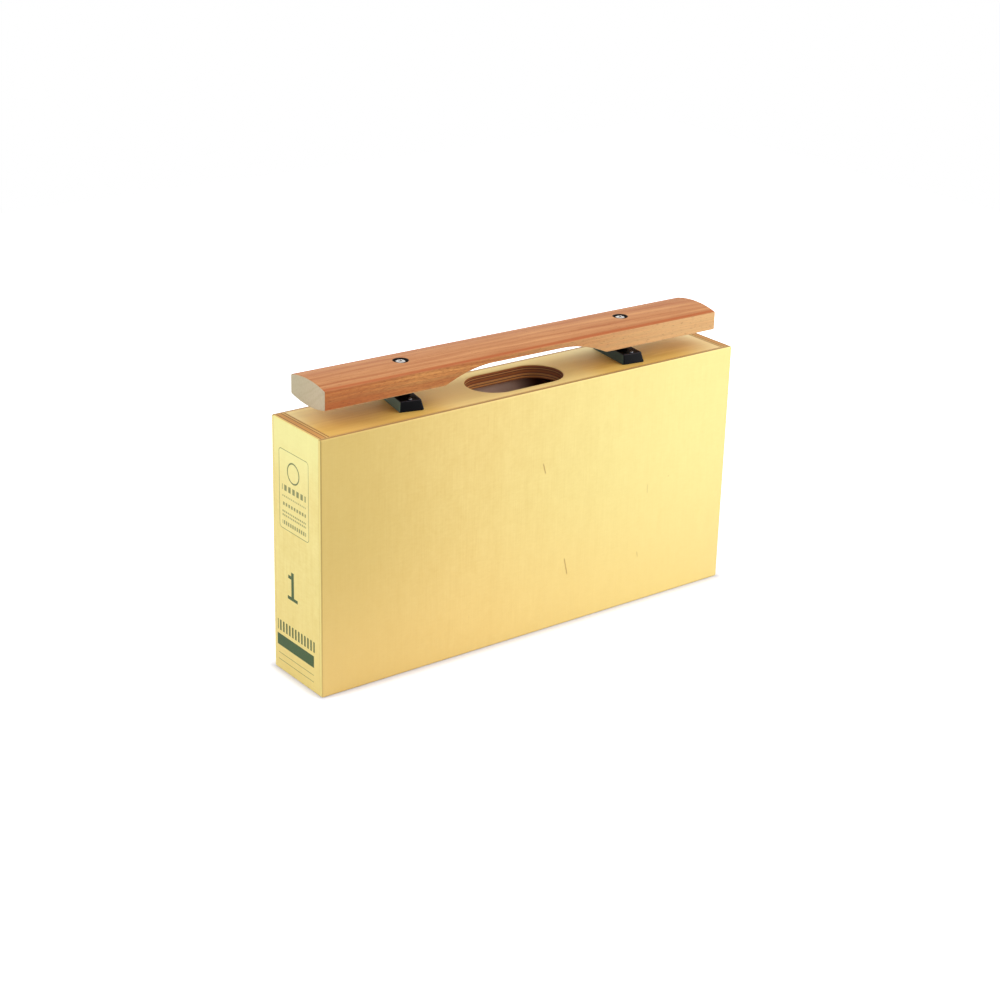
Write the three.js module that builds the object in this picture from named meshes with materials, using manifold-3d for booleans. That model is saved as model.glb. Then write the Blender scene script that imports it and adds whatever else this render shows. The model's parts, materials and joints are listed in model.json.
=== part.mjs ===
// Bass resonator bar: one tuned hardwood bar that floats on two rubber blocks above the sound
// hole of a tall, narrow plywood box. Sizes are in millimetres and +Z is up. The origin is the
// middle of the box's footprint, X runs along the bar, and the front looks towards -Y.

import * as THREE from 'three';
import { mergeVertices } from 'three/addons/utils/BufferGeometryUtils.js';
import { RoundedBoxGeometry } from 'three/addons/geometries/RoundedBoxGeometry.js';
import Module from 'manifold-3d';

const manifold = await Module();
manifold.setup();

// The plywood box
const box_length = 430;
const box_depth = 72;
const box_height = 222;
const end_thickness = 10;
const top_thickness = 12;
const bottom_thickness = 12;
const panel_thickness = 3;
const glue_line = 0.2;
const edge_round = 1.5;

// The sound hole, a slot with round ends in the top board
const hole_length = 92;
const hole_width = 47;
const hole_rim_round = 1.5;

// How the line of the bar lies on the box: turned a little, and a little behind the middle
const bar_line_turn_deg = -1.1;
const bar_line_shift_y = 1.5;

// The rubber blocks, one under each node of the bar, each turned a little against the bar
const node_inset = 86.95;
const block_base_length = 50.6;
const block_base_width = 21.8;
const block_top_length = 45;
const block_top_width = 18.5;
const block_height = 8.3;
const block_corner_round = 1.2;
const block_edge_round = 0.7;
const left_block_turn_deg = -11.4;
const right_block_turn_deg = -7;

// The two pins that hold each block down
const pin_inset = 2.1;
const pin_shank_diameter = 1.8;
const pin_head_diameter = 3.4;
const pin_head_height = 1.2;
const pin_dome_height = 1;
const pin_bite = 8;

// What stands at the middle of each block: rubber ring, sleeve, washer and bar screw
const ring_diameter = 16;
const ring_height = 3.6;
const sleeve_wall = 0.95;
const washer_diameter = 11;
const washer_thickness = 1;
const screw_shank_diameter = 4.5;
const screw_head_diameter = 8.5;
const screw_head_height = 3;
const screw_dome_height = 0.7;
const screw_tip_cover = 0.6;
const recess_span = 4.6;
const recess_blade = 1.1;
const recess_depth = 1.9;

// The tuned bar
const bar_length = 400.4;
const bar_width = 51;
const bar_side_height = 16;
const bar_top_crown = 3.4;
const bar_bottom_crown = 3.2;
const bar_corner_round = 1.2;
const bar_end_round = 0.6;
const arch_to_node = 31;
const arch_depth = 11.3;
const arch_run_in = 47.5;
const arch_shift_x = -3.4;
const counterbore_depth = 5.5;

// Clearances between pieces, and how far the bar can lift before it meets the washers
const seat_gap = 0.3;
const stack_gap = 0.05;
const round_gap = 0.3;
const bar_hole_gap = 0.8;
const washer_gap = 0.85;
const bar_play = 1.1;

// Steps on round pieces, and how far a cutter runs past what it cuts
const round_steps = 32;
const pin_steps = 16;
const arc_steps = 6;
const overcut = 2;

// Heights and places that follow from the sizes above
const block_seat_z = box_height + seat_gap;
const ring_seat_z = block_seat_z + block_height + seat_gap;
const bar_low_z = ring_seat_z + ring_height + seat_gap;
const bar_side_low_z = bar_low_z + bar_bottom_crown;
const bar_side_high_z = bar_side_low_z + bar_side_height;
const bar_high_z = bar_side_high_z + bar_top_crown;
const counterbore_floor_z = bar_high_z - counterbore_depth;
const washer_seat_z = counterbore_floor_z + bar_play;
const head_seat_z = washer_seat_z + washer_thickness + stack_gap;
const screw_tip_z = box_height - top_thickness + screw_tip_cover;
const inner_half_depth = box_depth / 2 - panel_thickness - glue_line;
const inner_half_length = box_length / 2 - end_thickness - glue_line;
const node_x = bar_length / 2 - node_inset;
const arch_half_span = node_x - arch_to_node;
const pin_y = block_top_length / 2 - pin_inset;

// Bores that follow from what passes through them
const screw_bore = screw_shank_diameter + 2 * round_gap;
const pin_bore = pin_shank_diameter + 2 * round_gap;
const sleeve_diameter = screw_bore + 2 * sleeve_wall;
const ring_bore = sleeve_diameter + 2 * round_gap;
const bar_hole_diameter = sleeve_diameter + 2 * bar_hole_gap;
const counterbore_diameter = washer_diameter + 2 * washer_gap;

// Finishes
const birch = new THREE.MeshStandardMaterial({ color: 0xeed68c, roughness: 0.45, metalness: 0 });
const ply_deck = new THREE.MeshStandardMaterial({ color: 0xd3b075, roughness: 0.5, metalness: 0 });
const tone_wood = new THREE.MeshStandardMaterial({ color: 0xce9468, roughness: 0.4, metalness: 0 });
const rubber = new THREE.MeshStandardMaterial({ color: 0x17181a, roughness: 0.35, metalness: 0 });
const plastic = new THREE.MeshStandardMaterial({ color: 0x3a322c, roughness: 0.6, metalness: 0 });
const steel = new THREE.MeshStandardMaterial({ color: 0xc8c8cd, roughness: 0.25, metalness: 1 });
const dark_steel = new THREE.MeshStandardMaterial({ color: 0x45454a, roughness: 0.35, metalness: 1 });

// A closed geometry as a solid that can be joined and cut.
function solid_of(geometry) {
  const bare = geometry.clone();
  bare.deleteAttribute('normal');
  bare.deleteAttribute('uv');
  const merged = mergeVertices(bare);
  return new manifold.Manifold(
    new manifold.Mesh({
      numProp: 3,
      vertProperties: new Float32Array(merged.attributes.position.array),
      triVerts: new Uint32Array(merged.index.array),
    }),
  );
}

// A solid back as a geometry.
function geometry_of(solid) {
  const mesh = solid.getMesh();
  const geometry = new THREE.BufferGeometry();
  geometry.setAttribute('position', new THREE.BufferAttribute(mesh.vertProperties, 3));
  geometry.setIndex(new THREE.BufferAttribute(mesh.triVerts, 1));
  geometry.computeVertexNormals();
  return geometry;
}

// The first geometry with all the others cut out of it.
function cut(body, ...cutters) {
  let solid = solid_of(body);
  for (const cutter of cutters) {
    solid = solid.subtract(solid_of(cutter));
  }
  return geometry_of(solid);
}

// A box from its low and high limits on each axis.
function block_between([x0, x1], [y0, y1], [z0, z1]) {
  const geometry = new THREE.BoxGeometry(x1 - x0, y1 - y0, z1 - z0);
  return geometry.translate((x0 + x1) / 2, (y0 + y1) / 2, (z0 + z1) / 2);
}

// An upright round bar between two heights, centred on (x, y).
function upright_cylinder(diameter, z0, z1, x = 0, y = 0) {
  const geometry = new THREE.CylinderGeometry(diameter / 2, diameter / 2, z1 - z0, round_steps);
  return geometry.rotateX(Math.PI / 2).translate(x, y, (z0 + z1) / 2);
}

// A straight tube standing on z = 0, turned from its rectangular wall section.
function upright_tube(outer_diameter, bore, height) {
  const wall = [
    new THREE.Vector2(bore / 2, 0),
    new THREE.Vector2(outer_diameter / 2, 0),
    new THREE.Vector2(outer_diameter / 2, height),
    new THREE.Vector2(bore / 2, height),
    new THREE.Vector2(bore / 2, 0),
  ];
  return new THREE.LatheGeometry(wall, round_steps).rotateX(Math.PI / 2);
}

// A closed solid through a stack of convex rings, each listed counter-clockwise from above.
function loft(rings) {
  const count = rings[0].length;
  const corners = rings.flat().flatMap((p) => [p.x, p.y, p.z]);
  const triangles = [];
  for (let level = 0; level + 1 < rings.length; level += 1) {
    for (let i = 0; i < count; i += 1) {
      const a = level * count + i;
      const b = level * count + ((i + 1) % count);
      triangles.push(a, b, b + count, a, b + count, a + count);
    }
  }
  const top = (rings.length - 1) * count;
  for (let i = 1; i + 1 < count; i += 1) {
    triangles.push(0, i + 1, i);
    triangles.push(top, top + i, top + i + 1);
  }
  const geometry = new THREE.BufferGeometry();
  geometry.setAttribute('position', new THREE.Float32BufferAttribute(corners, 3));
  geometry.setIndex(triangles);
  return geometry;
}

// Points of a slot outline with round ends, grown outwards by an offset.
function slot_ring(length, width, grow, z) {
  const radius = width / 2 + grow;
  const reach = (length - width) / 2;
  const half_turn = round_steps / 2;
  const ring = [];
  for (const side of [1, -1]) {
    for (let i = 0; i <= half_turn; i += 1) {
      const angle = (Math.PI * i) / half_turn - (side * Math.PI) / 2;
      ring.push(new THREE.Vector3(side * reach + radius * Math.cos(angle), radius * Math.sin(angle), z));
    }
  }
  return ring;
}

// Points of a rectangle with rounded corners.
function rounded_rectangle_ring(width, length, corner, z) {
  const radius = Math.min(corner, width / 2, length / 2);
  const ring = [];
  const quarters = [[1, 1], [-1, 1], [-1, -1], [1, -1]];
  quarters.forEach(([side_x, side_y], quarter) => {
    for (let i = 0; i <= arc_steps; i += 1) {
      const angle = ((quarter + i / arc_steps) * Math.PI) / 2;
      const x = side_x * (width / 2 - radius) + radius * Math.cos(angle);
      const y = side_y * (length / 2 - radius) + radius * Math.sin(angle);
      ring.push(new THREE.Vector3(x, y, z));
    }
  });
  return ring;
}

// The glued box is sanded all round, so every outer board is trimmed by one rounded envelope.
const box_envelope = new RoundedBoxGeometry(box_length, box_depth, box_height, 3, edge_round)
  .translate(0, 0, box_height / 2);

function outer_board(limits_x, limits_y, limits_z) {
  const blank = solid_of(block_between(limits_x, limits_y, limits_z));
  return geometry_of(blank.intersect(solid_of(box_envelope)));
}

// Front and back panels cover the edges of all four boards.
function cover_panel(side) {
  const faces = [side * box_depth / 2, side * (box_depth / 2 - panel_thickness)];
  faces.sort((a, b) => a - b);
  return outer_board([-box_length / 2, box_length / 2], faces, [0, box_height]);
}

// End boards stand full height between the two panels.
function end_board(side) {
  const faces = [side * box_length / 2, side * (box_length / 2 - end_thickness)];
  faces.sort((a, b) => a - b);
  return outer_board(faces, [-inner_half_depth, inner_half_depth], [0, box_height]);
}

// The bottom board lies between the end boards.
function bottom_board() {
  return block_between(
    [-inner_half_length, inner_half_length],
    [-inner_half_depth, inner_half_depth],
    [0, bottom_thickness],
  );
}

// The cutter of the sound hole: straight through, and flared at the top by a quarter circle.
function sound_hole_cutter() {
  const floor_z = box_height - top_thickness - overcut;
  const rings = [slot_ring(hole_length, hole_width, 0, floor_z)];
  for (let i = 0; i <= arc_steps; i += 1) {
    const angle = (i / arc_steps) * (Math.PI / 2);
    const grow = hole_rim_round * (1 - Math.cos(angle));
    const z = box_height - hole_rim_round * (1 - Math.sin(angle));
    rings.push(slot_ring(hole_length, hole_width, grow, z));
  }
  rings.push(slot_ring(hole_length, hole_width, hole_rim_round, box_height + overcut));
  return loft(rings);
}

const stations = [
  { name: 'left', x: -node_x, turn_deg: left_block_turn_deg },
  { name: 'right', x: node_x, turn_deg: right_block_turn_deg },
];

// A place on the line of the bar, as seen from the box.
function place_on_box(x, y) {
  const turn = THREE.MathUtils.degToRad(bar_line_turn_deg);
  return [
    x * Math.cos(turn) - y * Math.sin(turn),
    x * Math.sin(turn) + y * Math.cos(turn) + bar_line_shift_y,
  ];
}

// Where the two pins of a block stand, as seen from the box.
function pin_places({ x, turn_deg }) {
  const turn = THREE.MathUtils.degToRad(turn_deg);
  return [-pin_y, pin_y].map((along) => (
    place_on_box(x - along * Math.sin(turn), along * Math.cos(turn))
  ));
}

// The top board lies between the end boards, with the sound hole and the holes for the fixings.
function top_board() {
  const floor_z = box_height - top_thickness;
  const blank = block_between(
    [-inner_half_length, inner_half_length],
    [-inner_half_depth, inner_half_depth],
    [floor_z, box_height],
  );
  const cutters = [sound_hole_cutter()];
  const pin_floor = box_height - pin_bite - seat_gap;
  for (const station of stations) {
    const [screw_x, screw_y] = place_on_box(station.x, 0);
    cutters.push(
      upright_cylinder(screw_bore, floor_z - overcut, box_height + overcut, screw_x, screw_y),
    );
    for (const [pin_x, hole_y] of pin_places(station)) {
      cutters.push(upright_cylinder(pin_bore, pin_floor, box_height + overcut, pin_x, hole_y));
    }
  }
  return cut(blank, ...cutters);
}

// A rubber block: sloping sides, rounded upright corners and a softly rounded top edge.
function support_block() {
  const rings = [];
  const slope_top = block_height - block_edge_round;
  const ring_at = (share, inset, z) => rounded_rectangle_ring(
    block_base_width + (block_top_width - block_base_width) * share - 2 * inset,
    block_base_length + (block_top_length - block_base_length) * share - 2 * inset,
    block_corner_round,
    z,
  );
  rings.push(ring_at(0, 0, 0));
  for (let i = 0; i <= arc_steps; i += 1) {
    const angle = (i / arc_steps) * (Math.PI / 2);
    const z = slope_top + block_edge_round * Math.sin(angle);
    rings.push(ring_at(z / block_height, block_edge_round * (1 - Math.cos(angle)), z));
  }
  const through_hole = (diameter, y) => upright_cylinder(
    diameter, -overcut, block_height + overcut, 0, y,
  );
  return cut(
    loft(rings),
    through_hole(ring_bore, 0),
    through_hole(pin_bore, -pin_y),
    through_hole(pin_bore, pin_y),
  );
}

// Half the outline of a round-headed nail or screw: tip, shank, head underside and domed head.
function headed_outline(shank_diameter, tip_z, head_diameter, head_height, dome_height) {
  const outline = [
    new THREE.Vector2(0, tip_z),
    new THREE.Vector2(shank_diameter / 2, tip_z + shank_diameter),
    new THREE.Vector2(shank_diameter / 2, 0),
    new THREE.Vector2(head_diameter / 2, 0),
  ];
  for (let i = 0; i < arc_steps; i += 1) {
    const angle = (i / arc_steps) * (Math.PI / 2);
    const radius = (head_diameter / 2) * Math.cos(angle);
    outline.push(new THREE.Vector2(radius, head_height - dome_height * (1 - Math.sin(angle))));
  }
  outline.push(new THREE.Vector2(0, head_height));
  return outline;
}

// A pin whose head rests on the block: z = 0 is the head's underside.
function block_pin() {
  const tip_z = -(seat_gap + block_height + seat_gap + pin_bite);
  const outline = headed_outline(
    pin_shank_diameter, tip_z, pin_head_diameter, pin_head_height, pin_dome_height,
  );
  return new THREE.LatheGeometry(outline, pin_steps).rotateX(Math.PI / 2);
}

// The bar screw: a pan head with a cross recess, on a plain shank that bites into the top board.
function bar_screw() {
  const outline = headed_outline(
    screw_shank_diameter,
    screw_tip_z - head_seat_z,
    screw_head_diameter,
    screw_head_height,
    screw_dome_height,
  );
  const turned = new THREE.LatheGeometry(outline, round_steps).rotateX(Math.PI / 2);
  const recess_limits = [screw_head_height - recess_depth, screw_head_height + overcut];
  const long = [-recess_span / 2, recess_span / 2];
  const narrow = [-recess_blade / 2, recess_blade / 2];
  const cross = solid_of(block_between(long, narrow, recess_limits))
    .add(solid_of(block_between(narrow, long, recess_limits)));
  return geometry_of(solid_of(turned).subtract(cross));
}

// The bar's cross-section in the YZ plane: upright sides, crowned top and bottom, round corners.
// Each crown is an arc through both side edges, and each corner arc is tangent to both lines.
function bar_section() {
  const half = bar_width / 2;
  const corner_y = half - bar_corner_round;
  const crown_arc = (crown, edge_z, direction) => {
    const radius = (half * half + crown * crown) / (2 * crown);
    const centre_z = edge_z + direction * (crown - radius);
    const rise = Math.sqrt((radius - bar_corner_round) ** 2 - corner_y ** 2);
    return { radius, centre_z, corner_z: centre_z + direction * rise, angle: Math.atan2(rise, corner_y) };
  };
  const top = crown_arc(bar_top_crown, bar_side_high_z, 1);
  const low = crown_arc(bar_bottom_crown, bar_side_low_z, -1);
  const section = new THREE.Shape();
  section.absarc(corner_y, top.corner_z, bar_corner_round, 0, top.angle);
  section.absarc(0, top.centre_z, top.radius, top.angle, Math.PI - top.angle);
  section.absarc(-corner_y, top.corner_z, bar_corner_round, Math.PI - top.angle, Math.PI);
  section.absarc(-corner_y, low.corner_z, bar_corner_round, Math.PI, Math.PI + low.angle);
  section.absarc(0, low.centre_z, low.radius, Math.PI + low.angle, 2 * Math.PI - low.angle);
  section.absarc(corner_y, low.corner_z, bar_corner_round, 2 * Math.PI - low.angle, 2 * Math.PI);
  return section;
}

// The tuning arch under the bar, seen from the front. Each end is a parabola that leaves the
// side's lower edge and runs level into the flat middle; it is carried on below the crown. Its
// middle lies a little to one side of the bar's middle.
function arch_cutter() {
  const flat_z = bar_side_low_z + arch_depth;
  const flat_x = arch_half_span - arch_run_in;
  const reach = arch_run_in * Math.sqrt(1 + (bar_bottom_crown + overcut) / arch_depth);
  const start_x = flat_x + reach;
  const start_z = flat_z - arch_depth * (reach / arch_run_in) ** 2;
  const control_x = (start_x + flat_x) / 2;
  const outline = new THREE.Shape();
  outline.moveTo(-start_x, start_z);
  outline.lineTo(start_x, start_z);
  outline.quadraticCurveTo(control_x, flat_z, flat_x, flat_z);
  outline.lineTo(-flat_x, flat_z);
  outline.quadraticCurveTo(-control_x, flat_z, -start_x, start_z);
  const depth = bar_width + 2 * overcut;
  const geometry = new THREE.ExtrudeGeometry(outline, { depth, bevelEnabled: false, curveSegments: 16 });
  const stand_up = new THREE.Matrix4().makeBasis(
    new THREE.Vector3(1, 0, 0),
    new THREE.Vector3(0, 0, 1),
    new THREE.Vector3(0, -1, 0),
  );
  return geometry.applyMatrix4(stand_up).translate(arch_shift_x, depth / 2, 0);
}

// The tuned bar: crowned blank with softened ends, tuning arch, and a stepped hole at each node.
function tone_bar() {
  const blank = new THREE.ExtrudeGeometry(bar_section(), {
    depth: bar_length - 2 * bar_end_round,
    curveSegments: 10,
    bevelThickness: bar_end_round,
    bevelSize: bar_end_round,
    bevelOffset: -bar_end_round,
    bevelSegments: 2,
  });
  const lay_along_x = new THREE.Matrix4().makeBasis(
    new THREE.Vector3(0, 1, 0),
    new THREE.Vector3(0, 0, 1),
    new THREE.Vector3(1, 0, 0),
  );
  blank.applyMatrix4(lay_along_x).translate(bar_end_round - bar_length / 2, 0, 0);
  const holes = stations.flatMap(({ x }) => [
    upright_cylinder(bar_hole_diameter, bar_low_z - overcut, bar_high_z + overcut, x),
    upright_cylinder(counterbore_diameter, counterbore_floor_z, bar_high_z + overcut, x),
  ]);
  return cut(blank, arch_cutter(), ...holes);
}

function piece(name, geometry, material) {
  const mesh = new THREE.Mesh(geometry, material.clone());
  mesh.name = name;
  return mesh;
}

function resonance_box() {
  const group = new THREE.Group();
  group.add(piece('front_panel', cover_panel(-1), birch));
  group.add(piece('back_panel', cover_panel(1), birch));
  group.add(piece('left_end_board', end_board(-1), birch));
  group.add(piece('right_end_board', end_board(1), birch));
  group.add(piece('bottom_board', bottom_board(), birch));
  group.add(piece('top_board', top_board(), ply_deck));
  return group;
}

// Everything that stands at one node of the bar and stays with the box.
function support_station({ name, x, turn_deg }) {
  const station = new THREE.Group();
  station.position.x = x;

  const turned = new THREE.Group();
  turned.position.z = block_seat_z;
  turned.rotation.z = THREE.MathUtils.degToRad(turn_deg);
  turned.add(piece(`${name}_support_block`, support_block(), rubber));
  for (const [end, side] of [['front', -1], ['back', 1]]) {
    const pin = piece(`${name}_block_${end}_pin`, block_pin(), dark_steel);
    pin.position.set(0, side * pin_y, block_height + seat_gap);
    turned.add(pin);
  }
  station.add(turned);

  const ring = piece(`${name}_cushion_ring`, upright_tube(ring_diameter, ring_bore, ring_height), rubber);
  ring.position.z = ring_seat_z;
  station.add(ring);

  const sleeve_height = washer_seat_z - stack_gap - block_seat_z;
  const sleeve_tube = upright_tube(sleeve_diameter, screw_bore, sleeve_height);
  const sleeve = piece(`${name}_spacer_sleeve`, sleeve_tube, plastic);
  sleeve.position.z = block_seat_z;
  station.add(sleeve);

  const washer_ring = upright_tube(washer_diameter, screw_bore, washer_thickness);
  const washer = piece(`${name}_washer`, washer_ring, steel);
  washer.position.z = washer_seat_z;
  station.add(washer);

  const screw = piece(`${name}_bar_screw`, bar_screw(), steel);
  screw.position.z = head_seat_z;
  station.add(screw);
  return station;
}

// The bar and what carries it, on their own line across the top of the box.
function bar_line() {
  const line = new THREE.Group();
  line.position.y = bar_line_shift_y;
  line.rotation.z = THREE.MathUtils.degToRad(bar_line_turn_deg);
  for (const station of stations) {
    line.add(support_station(station));
  }
  line.add(piece('tone_bar', tone_bar(), tone_wood));
  return line;
}

const resonator_bar = new THREE.Group();
resonator_bar.add(resonance_box());
resonator_bar.add(bar_line());

export default resonator_bar;
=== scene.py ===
"""Bass resonator bar: a tuned hardwood bar on rubber blocks above a tall, narrow plywood box.

Sizes are in millimetres and become metres when a mesh is made. Only the lamps are placed in metres.
"""
import json
import math

import bpy
import numpy as np
from mathutils import Matrix, Vector


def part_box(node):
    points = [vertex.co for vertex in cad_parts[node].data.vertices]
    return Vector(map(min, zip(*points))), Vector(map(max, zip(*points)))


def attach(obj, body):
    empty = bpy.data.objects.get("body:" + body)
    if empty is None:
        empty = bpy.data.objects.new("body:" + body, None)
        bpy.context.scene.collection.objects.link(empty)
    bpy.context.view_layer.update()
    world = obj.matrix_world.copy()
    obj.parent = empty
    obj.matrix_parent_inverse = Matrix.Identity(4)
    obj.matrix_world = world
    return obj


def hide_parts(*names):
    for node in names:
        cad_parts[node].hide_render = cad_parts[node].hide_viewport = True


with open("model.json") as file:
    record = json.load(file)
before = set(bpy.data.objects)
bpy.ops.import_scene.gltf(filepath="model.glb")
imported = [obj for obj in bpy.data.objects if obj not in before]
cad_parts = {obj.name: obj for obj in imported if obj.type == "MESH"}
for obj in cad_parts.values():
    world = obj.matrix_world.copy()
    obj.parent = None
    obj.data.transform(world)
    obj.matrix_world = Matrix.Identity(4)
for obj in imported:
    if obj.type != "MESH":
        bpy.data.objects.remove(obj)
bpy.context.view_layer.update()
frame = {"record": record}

# Camera, as fitted to the edges of the box and the bar in the photograph
CAMERA_PLACE = (-1028.58, -1312.80, 794.12)
CAMERA_AZIMUTH = -0.659193
CAMERA_ELEVATION = 0.388514
CAMERA_ROLL = 0.027619
CAMERA_FOCAL_PIXELS = 2103.77
FRAME_PIXELS = 1000
SENSOR_WIDTH = 36.0

# Lamps: place and aim in metres, width in metres, power in watts
LAMPS = {
    "key": ((1.2, -1.2, 1.0), (0.05, 0, 0.12), 1.5, 18.8),
    "left_fill": ((-1.9, 0.5, 1.3), (-0.2, 0, 0.15), 1.2, 17.5),
    "top": ((0.1, 0.1, 2.2), (0, 0, 0.2), 1.4, 8.3),
}
WORLD_LIGHT = 0.58

# Floor: the painted shadow round the footprint, where no white is added, ends at CONTACT_REACH, or
# further off along the broad sides, and the white that is added beyond it grows slowly up to FAR_REACH
FLOOR_HALF = 1500.0
CONTACT_REACH = 8.5
CONTACT_START = -1.5
SIDE_SHADOW = 0.72
FLOOR_LIFT = 0.45
FAR_REACH = 500.0
FAR_LIFT = 0.6

# Box
EDGE_ROUND = 1.5
HOLE_LENGTH = 92.0
HOLE_WIDTH = 47.0
HOLE_RIM_ROUND = 1.5
PANEL_THICKNESS = 3.0

# Bar. Its tuning arch lies a little to the left of its middle
BAR_LENGTH = 400.4
BAR_WIDTH = 51.0
BAR_TOP_CROWN = 3.4
BAR_BOTTOM_CROWN = 3.2
BAR_CORNER_ROUND = 1.2
BAR_END_ROUND = 0.8
ARCH_HALF_SPAN = 82.25
ARCH_DEPTH = 11.3
ARCH_RUN_IN = 47.5
ARCH_SHIFT = -3.4
ARCH_EDGE_SOFT = 0.25
BAR_HOLE_DIAMETER = 8.6
BAR_HOLE_EASE = 0.2
COUNTERBORE_DIAMETER = 12.7
COUNTERBORE_DEPTH = 5.5
COUNTERBORE_EASE = 0.35
# Ring round each hole painted near black: scorched wood and painted shade
SCORCH_SHADE_RADIUS = 6.75
SCORCH_SHADE_SOFT = 0.15
RED_EDGE_PLACE = 23.4
RED_EDGE_WIDTH = 3.4
RED_EDGE_SOFT = 3.0

# Rubber blocks as (width, length), with the turn of each on the box
BLOCK_BASE = (21.8, 50.6)
BLOCK_TOP = (18.5, 45.0)
BLOCK_CORNER_ROUND = 1.6
BLOCK_EDGE_ROUND = 0.8
BLOCK_FOOT_EASE = 0.3
BLOCK_TURN_DEG = {"left": -12.5, "right": -8.1}
BLOCK_BORE = 7.6

# Pins that hold the blocks
PIN_PLACE = 20.4
PIN_BORE = 2.4
PIN_HOLE_DEPTH = 8.3
PIN_SHANK = 1.8
PIN_HEAD = 3.4
PIN_HEAD_HEIGHT = 1.2
PIN_DOME = 1.0

# Screws, washers, sleeves and rings
SCREW_SHANK = 4.5
SCREW_HEAD = 8.5
SCREW_DOME = 0.7
SCREW_SEAT_GAP = 0.05
# Depth below the screw's top where painted shade starts on its side and in its recess
SCREW_SHADE_DEPTH = 0.4
HEAD_EDGE_EASE = 0.15
RECESS_SPAN = 4.8
RECESS_BLADE = 1.1
RECESS_CORE = 3.8
RECESS_DEPTH = 1.9
RECESS_CORNER = 0.25
RECESS_TURN = 0.5
WASHER_DIAMETER = 11.0
WASHER_BORE = 5.1
WASHER_EASE = 0.2
SLEEVE_DIAMETER = 7.0
SLEEVE_EASE = 0.15
RING_DIAMETER = 16.0
RING_BORE = 7.6
RING_EASE = 0.7

# Plies, by depth from the face: glue lines, and the darker cores between two depths
PANEL_GLUE = (1.0, 2.1)
PANEL_CORES = ((1.0, 2.1),)
END_GLUE = (2.5, 7.2, 9.8)
END_CORES = ((2.5, 7.2),)
DECK_GLUE = (2.7, 4.2, 7.1, 9.6)
DECK_CORES = ((0.0, 2.7), (4.2, 7.1), (11.2, 12.2))
GLUE_WIDTH = 0.8
GLUE_SOFT = 0.4
CORE_SOFT = 0.15

# Dark flecks in the veneer of the front panel (-1) and the back one (1): x, z, length, half width,
# lean and strength
FLECKS = {
    -1: [
        (7.0, 150.8, 13.0, 0.9, -0.30, 0.65),
        (34.2, 54.4, 19.0, 0.9, -0.23, 0.65),
        (116.0, 45.9, 8.0, 1.0, -0.20, 0.25),
        (124.1, 106.6, 11.0, 0.8, 0.00, 0.20),
        (148.0, 113.6, 3.0, 1.0, 0.00, 0.35),
        (-69.0, 33.6, 3.0, 1.0, 0.00, 0.25),
    ],
    1: [
        (-84.0, 131.0, 12.0, 0.9, 0.15, 0.5),
        (61.0, 84.0, 9.0, 0.8, -0.10, 0.4),
    ],
}

# Printing on the left end. A place is (y, z), and a rectangle is its low and high corner
LABEL = ((-18.1, 129.7), (24.9, 197.7))
LABEL_CORNER = 3.0
LABEL_RULE = 0.55
RING_PLACE = (4.0, 181.0)
RING_RADIUS = 8.5
RING_LINE = 1.2
NUMERAL = {
    "foot": ((-0.5, 69.5), (14.5, 72.5)),
    "stem": ((5.0, 69.5), (9.0, 94.5)),
    "flag": ((9.0, 88.0), (13.5, 91.0)),
}
TICK_ROW = ((-25.5, 36.2), (30.5, 45.6))
TICK_PITCH = 4.6
BAND = ((-24.2, 22.3), (31.2, 32.8))
RULED_LINES = (((-23.8, 15.25), (30.0, 15.75)), ((-23.8, 9.15), (30.0, 9.65)))
PRINT_EDGE_SOFT = 0.12

# Rows of dashes in the label: lower edge, height, pitch and strength
DASH_MARGIN = 4.0
DASHES = [
    (163.0, 5.0, 6.0, 0.75),
    (157.4, 1.4, 2.6, 0.55),
    (150.0, 2.8, 4.0, 0.7),
    (144.0, 1.6, 2.6, 0.7),
    (140.8, 1.6, 2.6, 0.7),
    (133.6, 3.4, 3.2, 0.7),
]

# Fineness of the meshes, the least radius of a ring or corner, how far a cutter reaches past what
# it cuts, and the angle above which an edge is sharp
ROUND_STEPS = 96
SMALL_STEPS = 40
ARC_STEPS = 8
CROWN_POINTS = 40
SIDE_STEPS = 7
BAR_SECTIONS = 321
TINY = 0.02
OVERSHOOT = 2.0
CREASE_DEG = 30


def limits(node):
    """Low and high corner of a CAD node."""
    low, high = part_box(node)
    return np.array(low) * 1000, np.array(high) * 1000


def centre_of(node):
    """Middle of a CAD node's box."""
    low, high = limits(node)
    return (low + high) / 2


box_low = np.minimum(limits("front_panel")[0], limits("back_panel")[0])
box_high = np.maximum(limits("front_panel")[1], limits("back_panel")[1])
end_x, face_y, box_top_z = (float(value) for value in box_high)
deck_x, deck_y = (float(value) for value in limits("top_board")[1][:2])
bar_low_z = float(limits("tone_bar")[0][2])
stations = {side: centre_of(f"{side}_washer") for side in ("left", "right")}
bar_line = stations["right"] - stations["left"]
line_middle = (stations["left"] + stations["right"]) / 2
line_turn = math.atan2(bar_line[1], bar_line[0])
node_x = math.hypot(bar_line[0], bar_line[1]) / 2

body_of = {node: body for body, nodes in frame["record"]["behaviour"]["bodies"].items()
           for node in nodes}


def turned(points, angle, place):
    """Points turned about Z by an angle, then moved to a place in the XY plane."""
    cos, sin = math.cos(angle), math.sin(angle)
    spin = np.array([[cos, sin, 0], [-sin, cos, 0], [0, 0, 1]])
    return points @ spin + np.array([place[0], place[1], 0])


def on_line(points):
    """Points of the bar's own frame, turned and moved onto its line across the box."""
    return turned(points, line_turn, line_middle)


# Shapes. Each is a stack of rings with equal counts; a ring runs counter-clockwise as seen from
# the end of the stack.

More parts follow.
